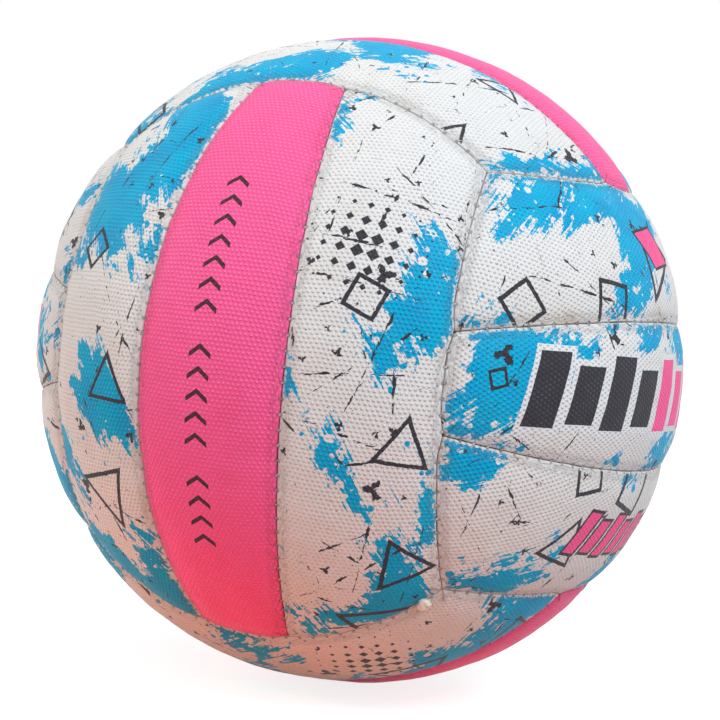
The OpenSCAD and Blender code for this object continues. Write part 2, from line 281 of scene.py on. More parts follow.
def strip_angles(side, across_row, along_row):
    """Longitude and latitude of a mesh point on a face's strip, and the small turns in both that
    round the strip's corners"""
    latitude = 0.0
    # The width here depends on the latitude and the length on the longitude, so both are found
    # in small steps
    for _ in range(12):
        low, high = -STRIP_ANGLE, STRIP_ANGLE
        if side > 0:
            low, high = STRIP_ANGLE, side_longitude(latitude)
        if side < 0:
            low, high = -side_longitude(latitude), -STRIP_ANGLE
        circle = BALL_R * math.cos(latitude)
        width = circle * (high - low)
        across_place = station_place(across_row, width)
        longitude = low + across_place / circle
        length = 2 * BALL_R * end_latitude(longitude)
        along_place = station_place(along_row, length)
        change = (along_place - length / 2) / BALL_R - latitude
        latitude += 0.75 * change
        if abs(change) < 1e-6:
            break
    outer = side > 0 and across_place > width / 2 or side < 0 and across_place < width / 2
    radius = FACE_CORNER if outer else STRIP_CORNER
    across_shift, along_shift = corner_shift(radius, across_place, width, along_place, length)
    return longitude, latitude, across_shift / circle, along_shift / BALL_R


def corner_shift(radius, across_place, width, along_place, length):
    """How far a point moves in from both edges, so that the corner it is near becomes round"""
    u = 1 - min(across_place, width - across_place) / radius
    v = 1 - min(along_place, length - along_place) / radius
    if u <= 0 or v <= 0:
        return 0.0, 0.0
    share = (1 - max(u, v) / math.hypot(u, v)) * radius
    across_way = 1 if across_place < width / 2 else -1
    along_way = 1 if along_place < length / 2 else -1
    return across_way * u * share, along_way * v * share


def make_panel(face, side):
    """One strip of the cover: a grid laid on the ball, puffed, rolled down and turned in at its
    seams. Its sheet map is in metres along and across the flat strip, and its print map is the
    same, moved to the strip's own place on the printed sheet."""
    look, across, along, _ = FACES[face]
    seams = [end_seam(face, -1), end_seam(face, 1)]
    if side == 0:
        seams += [strip_seam(face, -1), strip_seam(face, 1)]
    else:
        seams += [strip_seam(face, side), side_seam(face, side)]
    columns = stations(2 * STRIP_ANGLE * BALL_R * 0.9, ACROSS_STEP)
    rows = stations(1.75 * BALL_R, ALONG_STEP)
    bm = bmesh.new()
    bmesh.ops.create_grid(bm, x_segments=len(columns) - 1, y_segments=len(rows) - 1, size=1)
    sheet = bm.loops.layers.uv.new("sheet")
    art = bm.loops.layers.uv.new("print")
    shift = PRINT_SHIFT * (list(FACES).index(face) * 3 + side + 2)
    seam_layer = bm.verts.layers.float.new("seam_mm")
    run_layer = bm.verts.layers.float.new("run_mm")
    flat = {}
    middle_turn = side * 2 * STRIP_ANGLE
    strip_look = look * math.cos(middle_turn) + across * math.sin(middle_turn)
    strip_across = across * math.cos(middle_turn) - look * math.sin(middle_turn)
    for vert in bm.verts:
        column = columns[round((vert.co.x + 1) / 2 * (len(columns) - 1))]
        row = rows[round((vert.co.y + 1) / 2 * (len(rows) - 1))]
        longitude, latitude, turn_across, turn_along = strip_angles(side, column, row)
        way = ball_way(look, across, along, longitude, latitude)
        distances = [max(seam.distance(way), 0.05 * MM) for seam in seams]
        way = ball_way(look, across, along, longitude + turn_across, latitude + turn_along)
        reach = sum(d ** -CORNER_POWER for d in distances) ** (-1 / CORNER_POWER)
        nearest = min(range(4), key=lambda i: distances[i])
        height = panel_height(reach, way * BALL_R) + seam_relief(way, distances, seams)
        height += SWELL * noise.noise(way * BALL_R / SWELL_PATCH)
        depths = [depth for _, _, depth in (column, row) if depth is not None]
        if depths:
            height = -max(depths)
        vert.co = wander(way * (BALL_R + height))
        vert[seam_layer] = reach / MM
        vert[run_layer] = seams[nearest].run(way) / MM
        flat[vert] = (BALL_R * math.atan2(way.dot(along), way.dot(strip_look)),
                      BALL_R * math.asin(way.dot(strip_across)))
    for bm_face in bm.faces:
        bm_face.smooth = True
        for loop in bm_face.loops:
            loop[sheet].uv = flat[loop.vert]
            loop[art].uv = Vector(flat[loop.vert]) + shift
    return bm


def finish_mesh(bm, name):
    """A new object in the scene from a bmesh"""
    mesh = bpy.data.meshes.new(name)
    bm.to_mesh(mesh)
    bm.free()
    piece = bpy.data.objects.new(name, mesh)
    bpy.context.scene.collection.objects.link(piece)
    return piece


def thicken(piece, thickness):
    """Gives a sheet its thickness, inwards"""
    solidify = piece.modifiers.new("skin", "SOLIDIFY")
    solidify.thickness = thickness
    solidify.offset = -1


def settle(piece, material, slot, *nodes):
    """Gives a piece its material, and its place in the construction"""
    piece.data.materials.append(material)
    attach(piece, "root")
    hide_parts(*nodes)


def punch_hole(bm, way, radius):
    """Opens a round hole in a panel, around a direction from the ball's middle"""

    def offset(place):
        return place - way * place.dot(way)

    inside = [f for f in bm.faces if offset(f.calc_center_median()).length < radius]
    bmesh.ops.delete(bm, geom=inside, context="FACES")
    for vert in bm.verts:
        aside = offset(vert.co)
        if vert.is_boundary and aside.length < 2 * radius:
            vert.co += aside.normalized() * (radius - aside.length)


# Seam threads and the closing knot

# One stitch of the thread: share of the pitch, then the distance aside of the seam and the depth
# in millimetres. It crosses the groove on top, goes down through the edge and comes back below.
STITCH_ROUTE = (
    (-0.16, -0.9, 2.4), (-0.07, -0.5, 1.65), (0.0, 0.0, 1.5), (0.07, 0.5, 1.65),
    (0.16, 0.9, 2.4), (0.32, 0.7, 3.5), (0.5, 0.0, 3.8), (0.68, -0.7, 3.5),
)
THREAD_STOP = 2.5 * MM


def stitch_line(seam, half_run):
    """The points of the thread along one seam"""
    count = int((half_run - THREAD_STOP) / STITCH_PITCH)
    points = []
    for stitch in range(-count, count + 1):
        for share, aside, depth in STITCH_ROUTE:
            run = (stitch + share) * STITCH_PITCH
            points.append(wander(seam.point(run, BALL_R - depth * MM, aside * MM)))
    return points


def make_cord(name, lines, diameter):
    """Round cords along lines of points, as one mesh piece"""
    curve = bpy.data.curves.new(name, "CURVE")
    curve.dimensions = "3D"
    curve.resolution_u = 2
    curve.bevel_depth = diameter / 2
    curve.bevel_resolution = 1
    curve.use_fill_caps = True
    for points in lines:
        spline = curve.splines.new("NURBS")
        spline.points.add(len(points) - 1)
        for target, point in zip(spline.points, points):
            target.co = (*point, 1)
        spline.order_u = 3
        spline.use_endpoint_u = True
    source = bpy.data.objects.new(name + "_line", curve)
    bpy.context.scene.collection.objects.link(source)
    bpy.context.view_layer.update()
    mesh = bpy.data.meshes.new_from_object(source.evaluated_get(bpy.context.evaluated_depsgraph_get()))
    bpy.data.objects.remove(source)
    for polygon in mesh.polygons:
        polygon.use_smooth = True
    mesh.materials.clear()
    piece = bpy.data.objects.new(name, mesh)
    bpy.context.scene.collection.objects.link(piece)
    return piece


def make_knot():
    """The lump of thread and glue that closes the last seam, with its pinched middle"""
    lowest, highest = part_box("closing_knot")
    seam = side_seam("bottom", -1)
    way = ((lowest + highest) / 2).normalized()
    run = seam.run(way)
    middle = seam.point(run, BALL_R - 0.1 * MM)
    up = middle.normalized()
    along = (seam.point(run + MM, BALL_R) - seam.point(run, BALL_R)).normalized()
    aside = up.cross(along)
    long, wide, high = KNOT_HALVES
    bm = bmesh.new()
    bmesh.ops.create_icosphere(bm, subdivisions=4, radius=1)
    for vert in bm.verts:
        shape = vert.co.copy()
        lump = 1 + 0.35 * noise.noise(shape * 1.6) + 0.16 * noise.noise(shape * 4.5)
        pinch = math.exp(-((shape.x - 0.1) ** 2 + (shape.y + 0.15) ** 2) / 0.06) * max(shape.z, 0)
        lump -= 0.75 * pinch
        vert.co = (middle + along * (shape.x * lump * long) + aside * (shape.y * lump * wide)
                   + up * (shape.z * lump * high))
    bmesh.ops.recalc_face_normals(bm, faces=bm.faces)
    for bm_face in bm.faces:
        bm_face.smooth = True
    return finish_mesh(bm, "closing_knot_lump")


# Shader nodes

def add_node(tree, kind, inputs=(), **settings):
    """Adds a node. An input is named, or numbered where names repeat, and takes a value or
    another node's output."""
    node = tree.nodes.new(kind)
    for key, value in settings.items():
        setattr(node, key, value)
    for key, value in dict(inputs).items():
        if isinstance(value, bpy.types.NodeSocket):
            tree.links.new(value, node.inputs[key])
        else:
            node.inputs[key].default_value = value
    return node


def calc(tree, operation, *values):
    return add_node(tree, "ShaderNodeMath", enumerate(values), operation=operation).outputs[0]


def vector_calc(tree, operation, *values, out="Vector"):
    node = add_node(tree, "ShaderNodeVectorMath", enumerate(values), operation=operation)
    return node.outputs[out]


def ease(tree, value, low, high):
    """0 at low, 1 at high and smooth between; low may be the larger"""
    node = add_node(tree, "ShaderNodeMapRange", {"Value": value, "From Min": low, "From Max": high},
                    interpolation_type="SMOOTHSTEP")
    return node.outputs["Result"]


def rescale(tree, value, low, high, to_low, to_high):
    inputs = {"Value": value, "From Min": low, "From Max": high, "To Min": to_low, "To Max": to_high}
    return add_node(tree, "ShaderNodeMapRange", inputs).outputs["Result"]


def mix_colour(tree, share, first, second):
    node = add_node(tree, "ShaderNodeMix", {0: share, 6: first, 7: second}, data_type="RGBA")
    return node.outputs[2]


def noise_value(tree, vector, size, detail=2.0, roughness=0.5, out="Fac"):
    """A noise whose patches are about size across, in the units of the vector"""
    inputs = {"Vector": vector, "Scale": 1 / size, "Detail": detail, "Roughness": roughness}
    return add_node(tree, "ShaderNodeTexNoise", inputs).outputs[out]


def voronoi(tree, vector, size, feature="F1", randomness=1.0):
    inputs = {"Vector": vector, "Scale": 1 / size, "Randomness": randomness}
    node = add_node(tree, "ShaderNodeTexVoronoi", inputs, voronoi_dimensions="2D", feature=feature)
    return node.outputs


def placed(tree, vector, centre=(0, 0), turn=0.0, scale=(1, 1)):
    """A pattern's own coordinates: centred on a point, turned, then scaled"""
    node = add_node(tree, "ShaderNodeMapping", {
        "Vector": vector, "Location": (*centre, 0), "Rotation": (0, 0, math.radians(turn)),
        "Scale": (*scale, 1)}, vector_type="TEXTURE")
    return node.outputs["Vector"]


def apart(tree, vector):
    node = add_node(tree, "ShaderNodeSeparateXYZ", {"Vector": vector})
    return node.outputs["X"], node.outputs["Y"]


def jitter(tree, vector, size, amount):
    """The coordinates pushed about by a noise"""
    push = noise_value(tree, vector, size, 2.0, 0.5, "Color")
    push = vector_calc(tree, "SUBTRACT", push, (0.5, 0.5, 0.5))
    push = vector_calc(tree, "MULTIPLY", push, (amount, amount, 0))
    return vector_calc(tree, "ADD", vector, push)


def start_group(name, inputs, outputs):
    """A new node group with float inputs, except one named Vector"""
    group = bpy.data.node_groups.new(name, "ShaderNodeTree")
    for socket_name, default in inputs:
        kind = "NodeSocketVector" if default is None else "NodeSocketFloat"
        socket = group.interface.new_socket(socket_name, in_out="INPUT", socket_type=kind)
        if default is not None:
            socket.default_value = default
    for socket_name in outputs:
        group.interface.new_socket(socket_name, in_out="OUTPUT", socket_type="NodeSocketFloat")
    source = group.nodes.new("NodeGroupInput")
    target = group.nodes.new("NodeGroupOutput")
    return group, source.outputs, target.inputs


def use_group(tree, group, inputs, out):
    node = add_node(tree, "ShaderNodeGroup", inputs, node_tree=group)
    return node.outputs[out]


# Patterns of the cover, in millimetres on the flat strip

def pimple_group():
    """Rows of small round pimples, each row half a pitch on from the last"""
    group, given, result = start_group("pimple_grain", [("Vector", None), ("Pitch", 1.56)], ["Height"])
    long_pitch = calc(group, "MULTIPLY", given["Pitch"], math.sqrt(3))
    cell = add_node(group, "ShaderNodeCombineXYZ", {"X": long_pitch, "Y": given["Pitch"]}).outputs[0]
    place = vector_calc(group, "DIVIDE", given["Vector"], cell)
    lengths = []
    for shift in ((0, 0, 0), (0.5, 0.5, 0)):
        part = vector_calc(group, "FRACTION", vector_calc(group, "ADD", place, shift))
        part = vector_calc(group, "MULTIPLY", vector_calc(group, "SUBTRACT", part, (0.5, 0.5, 0.5)), cell)
        lengths.append(vector_calc(group, "LENGTH", part, out="Value"))
    nearest = calc(group, "DIVIDE", calc(group, "MINIMUM", *lengths), given["Pitch"])
    group.links.new(ease(group, nearest, 0.38, 0.06), result["Height"])
    return group


def splash_group():
    """Areas of splashed paint with ragged brush edges, drops beside them and gaps in them"""
    group, given, result = start_group(
        "paint_splash", [("Vector", None), ("Level", 0.53), ("Turn", 0.6)], ["Mask"])
    spun = add_node(group, "ShaderNodeVectorRotate",
                    {"Vector": given["Vector"], "Angle": given["Turn"]}, rotation_type="Z_AXIS")
    spun = spun.outputs["Vector"]
    place = jitter(group, placed(group, spun, scale=(1.5, 1)), 14, 10)
    body = noise_value(group, place, 36, 3.0, 0.55)
    rough = noise_value(group, place, 7, 5.0, 0.62)
    brush = noise_value(group, placed(group, spun, scale=(22, 1.2)), 1, 3.0, 0.6)
    fringe = noise_value(group, given["Vector"], 2.4, 4.0, 0.7)
    field = body
    for texture, strength in ((rough, 0.2), (brush, 0.2), (fringe, 0.11)):
        push = calc(group, "MULTIPLY", calc(group, "SUBTRACT", texture, 0.5), strength)
        field = calc(group, "ADD", field, push)
    over = calc(group, "SUBTRACT", field, given["Level"])
    area = ease(group, over, -0.003, 0.004)
    near = calc(group, "SUBTRACT", body, given["Level"])
    drops = []
    for size, shift, reach in ((7.5, 0.0, 0.075), (2.6, 37.0, 0.05)):
        spot = vector_calc(group, "ADD", jitter(group, given["Vector"], 2, 1.2), (shift, shift, 0))
        cell = voronoi(group, spot, size)
        chance, _ = apart(group, cell["Color"])
        radius = calc(group, "MULTIPLY", rescale(group, near, -reach, 0.03, 0, 0.38), chance)
        drops.append(ease(group, calc(group, "SUBTRACT", cell["Distance"], radius), 0.02, -0.02))
    drop = calc(group, "MAXIMUM", *drops)
    spot = vector_calc(group, "ADD", jitter(group, given["Vector"], 3, 2), (91, 13, 0))
    cell = voronoi(group, spot, 4.2)
    chance, _ = apart(group, cell["Color"])
    most = calc(group, "POWER", chance, 2.0)
    radius = calc(group, "MULTIPLY", rescale(group, near, 0.07, 0, 0, 0.42), most)
    gap = ease(group, calc(group, "SUBTRACT", cell["Distance"], radius), -0.02, 0.02)
    mask = calc(group, "MULTIPLY", calc(group, "MAXIMUM", area, drop), gap)
    group.links.new(mask, result["Mask"])
    return group


def broken_line(tree, vector, turn, shift, chance_limit):
    """Long thin straight lines, each broken into dashes of uneven width"""
    cell_long, cell_wide = 58, 15
    line = placed(tree, jitter(tree, vector, 21, 1.6), (shift, 2 * shift), turn)
    cell = voronoi(tree, placed(tree, line, scale=(cell_long, cell_wide)), 1, randomness=0.8)
    centre = vector_calc(tree, "MULTIPLY", cell["Position"], (cell_long, cell_wide, 0))
    x, y = apart(tree, vector_calc(tree, "SUBTRACT", line, centre))
    chance, other = apart(tree, cell["Color"])
    y = calc(tree, "SUBTRACT", y, calc(tree, "MULTIPLY", x, rescale(tree, other, 0, 1, -0.4, 0.4)))
    dash = noise_value(tree, placed(tree, line, scale=(8.0, 2.6)), 1, 3.0, 0.75)
    width = rescale(tree, dash, 0.47, 0.68, 0, 0.9)
    end = calc(tree, "MULTIPLY", calc(tree, "ADD", other, 0.25), cell_long * 0.4)
    taper = ease(tree, calc(tree, "ABSOLUTE", x), end, calc(tree, "MULTIPLY", end, 0.6))
    width = calc(tree, "MULTIPLY", width, taper)
    thin = ease(tree, calc(tree, "SUBTRACT", calc(tree, "ABSOLUTE", y), width), 0.0, -0.12)
    return calc(tree, "MULTIPLY", thin, calc(tree, "GREATER_THAN", chance, chance_limit))


def splat(tree, vector, size, reach):
    """Ink blots strewn about, each with a few pointed arms"""
    cell = voronoi(tree, vector, size)
    chance, other = apart(tree, cell["Color"])
    centre = vector_calc(tree, "MULTIPLY", cell["Position"], (1, 1, 0))
    x, y = apart(tree, vector_calc(tree, "SUBTRACT", vector, centre))
    turn = calc(tree, "MULTIPLY_ADD", calc(tree, "ARCTAN2", y, x), 1.5, calc(tree, "MULTIPLY", other, 9.0))
    arm = calc(tree, "POWER", calc(tree, "ABSOLUTE", calc(tree, "COSINE", turn)), 1.7)
    radius = rescale(tree, chance, 0.7, 1, 0, reach)
    radius = calc(tree, "MULTIPLY", radius, rescale(tree, arm, 0, 1, 0.45, 1.4))
    return ease(tree, calc(tree, "SUBTRACT", cell["Distance"], radius), 0.0, -0.08 / size)


def scratch_group():
    """Fine broken ink lines, cracks that fork, ragged blots and specks"""
    group, given, result = start_group("ink_scratches", [("Vector", None)], ["Mask"])
    place = jitter(group, given["Vector"], 13, 5)
    edge = voronoi(group, place, 31, "DISTANCE_TO_EDGE")["Distance"]
    width = rescale(group, noise_value(group, given["Vector"], 3.4, 3.0, 0.7), 0.5, 0.7, 0, 0.019)
    patch = ease(group, noise_value(group, given["Vector"], 34), 0.46, 0.52)
    crack = ease(group, calc(group, "SUBTRACT", edge, width), 0.0, -0.005)
    masks = [calc(group, "MULTIPLY", crack, patch)]
    for turn, shift, limit in ((38, 5, 0.6), (-52, 43, 0.62), (84, 71, 0.58), (6, 19, 0.62)):
        masks.append(broken_line(group, given["Vector"], turn, shift, limit))
    for size, reach, ragged in ((21, 0.12, 3.4), (9.5, 0.13, 1.9), (3.1, 0.09, 0.4)):
        spot = jitter(group, given["Vector"], ragged * 0.5, ragged)
        masks.append(splat(group, vector_calc(group, "ADD", spot, (size, 3 * size, 0)), size, reach))
    mask = masks[0]
    for other in masks[1:]:
        mask = calc(group, "MAXIMUM", mask, other)
    group.links.new(mask, result["Mask"])
    return group


def outline_group():
    """Triangles and squares drawn in outline, strewn about and turned at random"""
    group, given, result = start_group(
        "strewn_outlines", [("Vector", None), ("Size", 6.3), ("Line", 1.4)], ["Mask"])
    cell = voronoi(group, given["Vector"], 42, randomness=0.75)
    centre = vector_calc(group, "MULTIPLY", cell["Position"], (1, 1, 0))
    chance, other = apart(group, cell["Color"])
    turn = calc(group, "MULTIPLY", chance, 2 * math.pi)
    local = vector_calc(group, "SUBTRACT", given["Vector"], centre)
    local = add_node(group, "ShaderNodeVectorRotate", {"Vector": local, "Angle": turn},
                     rotation_type="Z_AXIS").outputs["Vector"]
    sides = [vector_calc(group, "DOT_PRODUCT", local, (math.cos(a), math.sin(a), 0), out="Value")
             for a in (math.pi / 2, math.pi * 7 / 6, math.pi * 11 / 6)]
    triangle = calc(group, "MAXIMUM", calc(group, "MAXIMUM", sides[0], sides[1]), sides[2])
    x, y = apart(group, vector_calc(group, "ABSOLUTE", local))
    square = calc(group, "MAXIMUM", x, y)
    kind = calc(group, "GREATER_THAN", other, 0.6)
    kept = calc(group, "GREATER_THAN", other, 0.3)
    form = calc(group, "ADD", calc(group, "MULTIPLY", triangle, kind),
                calc(group, "MULTIPLY", square, calc(group, "SUBTRACT", 1.0, kind)))
    size = calc(group, "MULTIPLY", given["Size"], rescale(group, chance, 0, 1, 0.35, 1.3))
    off = calc(group, "ABSOLUTE", calc(group, "SUBTRACT", form, size))
    half_line = calc(group, "MULTIPLY", given["Line"], rescale(group, chance, 0, 1, 0.35, 0.65))
    worn = calc(group, "MULTIPLY", noise_value(group, given["Vector"], 1.6, 4.0, 0.7), 0.9)
    off = calc(group, "ADD", off, calc(group, "SUBTRACT", worn, 0.42))
    drawn = ease(group, calc(group, "SUBTRACT", off, half_line), 0.08, -0.08)
    group.links.new(calc(group, "MULTIPLY", drawn, kept), result["Mask"])
    return group


def lozenge_group():
    """Rows of solid lozenges that shrink away from their middle"""
    group, given, result = start_group(
        "fading_lozenges", [("Vector", None), ("Pitch", 5.0), ("Reach", 22.0)], ["Mask"])
    flat = add_node(group, "ShaderNodeCombineXYZ", {"X": given["Pitch"], "Y": given["Pitch"]}).outputs[0]
    part = vector_calc(group, "FRACTION", vector_calc(group, "DIVIDE", given["Vector"], flat))
    part = vector_calc(group, "ABSOLUTE", vector_calc(group, "SUBTRACT", part, (0.5, 0.5, 0.5)))
    x, y = apart(group, part)
    form = calc(group, "ADD", x, y)
    away = vector_calc(group, "LENGTH", given["Vector"], out="Value")
    fade = calc(group, "SUBTRACT", 1.0, calc(group, "DIVIDE", away, given["Reach"]))
    size = calc(group, "MULTIPLY", 0.5, fade)
    group.links.new(ease(group, calc(group, "SUBTRACT", form, size), 0.03, -0.03), result["Mask"])
    return group


def seam_group():
    """What sewing and wear do beside a seam: creases, worn print, flattened grain and grime"""
    group, given, result = start_group(
        "seam_wear", [("Vector", None), ("Seam", 10.0), ("Run", 0.0)],
        ["Crease", "Crumple", "Print", "Grain", "Grime"])
    along, _ = apart(group, given["Vector"])
    place = add_node(group, "ShaderNodeCombineXYZ", {
        "X": calc(group, "MULTIPLY", given["Seam"], 1.7), "Y": calc(group, "MULTIPLY", given["Run"], 0.45),
        "Z": calc(group, "MULTIPLY", along, 0.004)}).outputs[0]
    fold = noise_value(group, jitter(group, place, 2.0, 1.2), 1.0, 3.0, 0.55)
    ridge = calc(group, "ABSOLUTE", calc(group, "SUBTRACT", fold, 0.5))
    crack = ease(group, ridge, 0.11, 0.0)
    band = ease(group, given["Seam"], 0.3, 1.0)
    band = calc(group, "MULTIPLY", band, ease(group, given["Seam"], 4.6, 2.2))
    group.links.new(calc(group, "MULTIPLY", crack, band), result["Crease"])
    near = ease(group, given["Seam"], 0.1, 0.5)
    near = calc(group, "MULTIPLY", near, ease(group, given["Seam"], 3.8, 1.4))
    group.links.new(calc(group, "MULTIPLY", calc(group, "SUBTRACT", fold, 0.5), near), result["Crumple"])
    rub = noise_value(group, given["Vector"], 1.5, 4.0, 0.7)
    edge = rescale(group, given["Seam"], 0.4, 2.4, 0.58, 0.2)
    group.links.new(ease(group, calc(group, "SUBTRACT", rub, edge), -0.03, 0.05), result["Print"])
    group.links.new(ease(group, given["Seam"], 0.9, 2.6), result["Grain"])
    dirt = ease(group, noise_value(group, given["Vector"], 5.0, 3.0, 0.6), 0.32, 0.62)
    dirt = calc(group, "MULTIPLY", dirt, ease(group, given["Seam"], 0.5, 0.05))
    stitches = calc(group, "DIVIDE", given["Run"], STITCH_PITCH / MM)
    part = calc(group, "FRACT", calc(group, "ADD", stitches, 0.5))
    beside = calc(group, "MULTIPLY", calc(group, "SUBTRACT", part, 0.5), STITCH_PITCH / MM)
    hole = add_node(group, "ShaderNodeCombineXYZ", {"X": given["Seam"], "Y": beside}).outputs[0]
    hole = vector_calc(group, "DISTANCE", hole, (0.35, 0, 0), out="Value")
    dirt = calc(group, "MAXIMUM", dirt, ease(group, hole, 0.75, 0.45))
    group.links.new(dirt, result["Grime"])
    return group


GROUPS = {
    "pimples": pimple_group(), "splash": splash_group(), "scratches": scratch_group(),
    "outlines": outline_group(), "lozenges": lozenge_group(), "seam": seam_group(),
}


# Colours

def screen(red, green, blue):
    """A colour given as it looks on a screen, from 0 to 255"""
    return tuple((c / 255 / 12.92 if c <= 10 else ((c / 255 + 0.055) / 1.055) ** 2.4)
                 for c in (red, green, blue)) + (1.0,)


WHITE_RUBBER = screen(226, 227, 228)
WHITE_SOILED = screen(212, 205, 196)
# Tip colours are lighter than the rubber: a painted highlight on each pimple's tip
WHITE_TIP_HIGHLIGHT = screen(228, 228, 228)
PINK_RUBBER = screen(255, 94, 158)
PINK_DEEP = screen(250, 74, 132)
# Lighter pink on the pimple tips: a painted highlight
PINK_TIP_HIGHLIGHT = screen(255, 158, 206)
SPLASH_BLUE = screen(0, 191, 230)
SPLASH_DEEP = screen(0, 142, 204)
INK = screen(56, 56, 63)
PRINT_WHITE = screen(226, 230, 234)
GRIME = screen(100, 94, 94)
# Darker colours for the crease lines beside the seams: painted shade in the creases
CREASE_SHADE_GREY = screen(132, 128, 126)
PINK_CREASE_SHADE = screen(200, 112, 140)
THREAD = screen(204, 195, 190)
THREAD_SOILED = screen(124, 114, 112)
CHEVRON_INK = screen(74, 46, 54)
KNOT_COLOURS = (screen(236, 234, 224), screen(206, 200, 180))
CLOTH_COLOURS = (screen(206, 198, 178), screen(232, 226, 210))
CLOTH_STAIN = screen(190, 170, 130)
BLADDER_COLOURS = (screen(38, 38, 40), screen(66, 65, 64))
PATCH_COLOURS = (screen(84, 84, 88), screen(68, 68, 72))
VALVE_COLOURS = (screen(34, 34, 36), screen(52, 51, 50))
INSERT_COLOURS = (screen(150, 150, 152), screen(120, 119, 118))


# Materials

# How strongly each mark colours the rubber, and its height in millimetres
# Share of the painted highlight on the pimple tips
TIP_HIGHLIGHT_SHARE = 0.5
# Share of the painted shade in the crease lines
CREASE_SHADE_SHARE = 0.2
GRIME_SHARE = 0.55
CREASE_DEPTH = 0.12
CRUMPLE_HEIGHT = 0.95
FINE_HEIGHT = 0.018
RUBBER_SPECULAR = 0.12


def start_material(name, roughness):
    material = bpy.data.materials.new(name)
    material.use_nodes = True
    shader = material.node_tree.nodes["Principled BSDF"]
    shader.inputs["Roughness"].default_value = roughness
    return material, material.node_tree, shader


def raise_surface(tree, shader, height_mm):
    """Bump from a height in millimetres"""
    bump = add_node(tree, "ShaderNodeBump", {"Height": height_mm, "Distance": MM, "Strength": 1.0})
    tree.links.new(bump.outputs["Normal"], shader.inputs["Normal"])


def millimetres(tree, map_name):
    """A map of the panel, in millimetres along and across its strip"""
    uv = add_node(tree, "ShaderNodeUVMap", uv_map=map_name).outputs["UV"]
    return vector_calc(tree, "MULTIPLY", uv, (1 / MM, 1 / MM, 0))


def measure(tree, name):
    return add_node(tree, "ShaderNodeAttribute", attribute_name=name).outputs["Fac"]


def cover_rubber(name, base, soiled, tip_highlight, crease_shade_colour, prints):
    """Pimpled rubber with its prints: each is a function that takes the tree, the strip's own
    coordinates and the print's coordinates, and returns pairs of a mask and a colour"""
    material, tree, shader = start_material(name, 0.45)
    shader.inputs["Specular IOR Level"].default_value = RUBBER_SPECULAR
    sheet = millimetres(tree, "sheet")
    art = millimetres(tree, "print")
    uneven = jitter(tree, jitter(tree, sheet, 19, 1.1), 4.5, 0.55)
    pimples = use_group(tree, GROUPS["pimples"], {"Vector": uneven}, "Height")
    seam, run = measure(tree, "seam_mm"), measure(tree, "run_mm")
    wear = add_node(tree, "ShaderNodeGroup", {"Vector": art, "Seam": seam, "Run": run},
                    node_tree=GROUPS["seam"])
    stain = ease(tree, noise_value(tree, art, 28, 4.0, 0.6), 0.5, 0.75)
    near_seam = ease(tree, seam, 7.0, 1.5)
    stain = calc(tree, "MULTIPLY", stain, calc(tree, "ADD", 0.35, calc(tree, "MULTIPLY", near_seam, 0.65)))
    colour = mix_colour(tree, stain, base, soiled)
    # Pimple tips lightened towards the tip colour: a painted highlight on each pimple
    colour = mix_colour(tree, calc(tree, "MULTIPLY", pimples, TIP_HIGHLIGHT_SHARE), colour, tip_highlight)
    # Print thinned on the pimple tips so the rubber shows through: partly worn print, partly a painted
    # highlight on the tips
    tip_wear_and_highlight = rescale(tree, noise_value(tree, art, 6), 0.35, 0.65, 0.0, 0.09)
    tip_wear_and_highlight = calc(tree, "SUBTRACT", 1.0, calc(tree, "MULTIPLY", pimples, tip_wear_and_highlight))
    for add_print in prints:
        for mask, ink in add_print(tree, sheet, art):
            kept = calc(tree, "MULTIPLY", calc(tree, "MULTIPLY", mask, wear.outputs["Print"]), tip_wear_and_highlight)
            colour = mix_colour(tree, kept, colour, ink)
    # Crease lines beside the seams darkened: painted shade in the creases
    crease_shade = calc(tree, "MULTIPLY", wear.outputs["Crease"], CREASE_SHADE_SHARE)
    colour = mix_colour(tree, crease_shade, colour, crease_shade_colour)
    colour = mix_colour(tree, calc(tree, "MULTIPLY", wear.outputs["Grime"], GRIME_SHARE), colour, GRIME)
    tree.links.new(colour, shader.inputs["Base Color"])
    amount = rescale(tree, noise_value(tree, art, 9), 0.3, 0.7, 0.3, 0.4)
    amount = calc(tree, "MULTIPLY", wear.outputs["Grain"], amount)
    height = calc(tree, "MULTIPLY", pimples, amount)
    crease = calc(tree, "MULTIPLY", wear.outputs["Crease"], CREASE_DEPTH)
    height = calc(tree, "SUBTRACT", height, crease)
    crumple = calc(tree, "MULTIPLY", wear.outputs["Crumple"], CRUMPLE_HEIGHT)
    height = calc(tree, "ADD", height, crumple)
    fine = noise_value(tree, art, 0.5, 3.0, 0.6)
    height = calc(tree, "ADD", height, calc(tree, "MULTIPLY", fine, FINE_HEIGHT))
    raise_surface(tree, shader, height)
    gloss = calc(tree, "SUBTRACT", 0.5, calc(tree, "MULTIPLY", pimples, 0.08))
    gloss = calc(tree, "ADD", gloss, calc(tree, "MULTIPLY", calc(tree, "SUBTRACT", fine, 0.5), 0.2))
    tree.links.new(gloss, shader.inputs["Roughness"])
    return material


def splash_print(tree, sheet, art):
    """Blue splashes, outlined figures and fine ink marks"""
    splash = use_group(tree, GROUPS["splash"], {"Vector": art}, "Mask")
    shade = mix_colour(tree, noise_value(tree, art, 12), SPLASH_BLUE, SPLASH_DEEP)
    outlines = use_group(tree, GROUPS["outlines"], {"Vector": art}, "Mask")
    scratches = use_group(tree, GROUPS["scratches"], {"Vector": art}, "Mask")
    return [(splash, shade), (outlines, INK), (scratches, INK)]


def lozenge_print(centre, turn):
    """A patch of fading lozenges at a place on the strip"""

    def add(tree, sheet, art):
        local = placed(tree, sheet, centre, turn)
        return [(use_group(tree, GROUPS["lozenges"], {"Vector": local}, "Mask"), INK)]
    return add


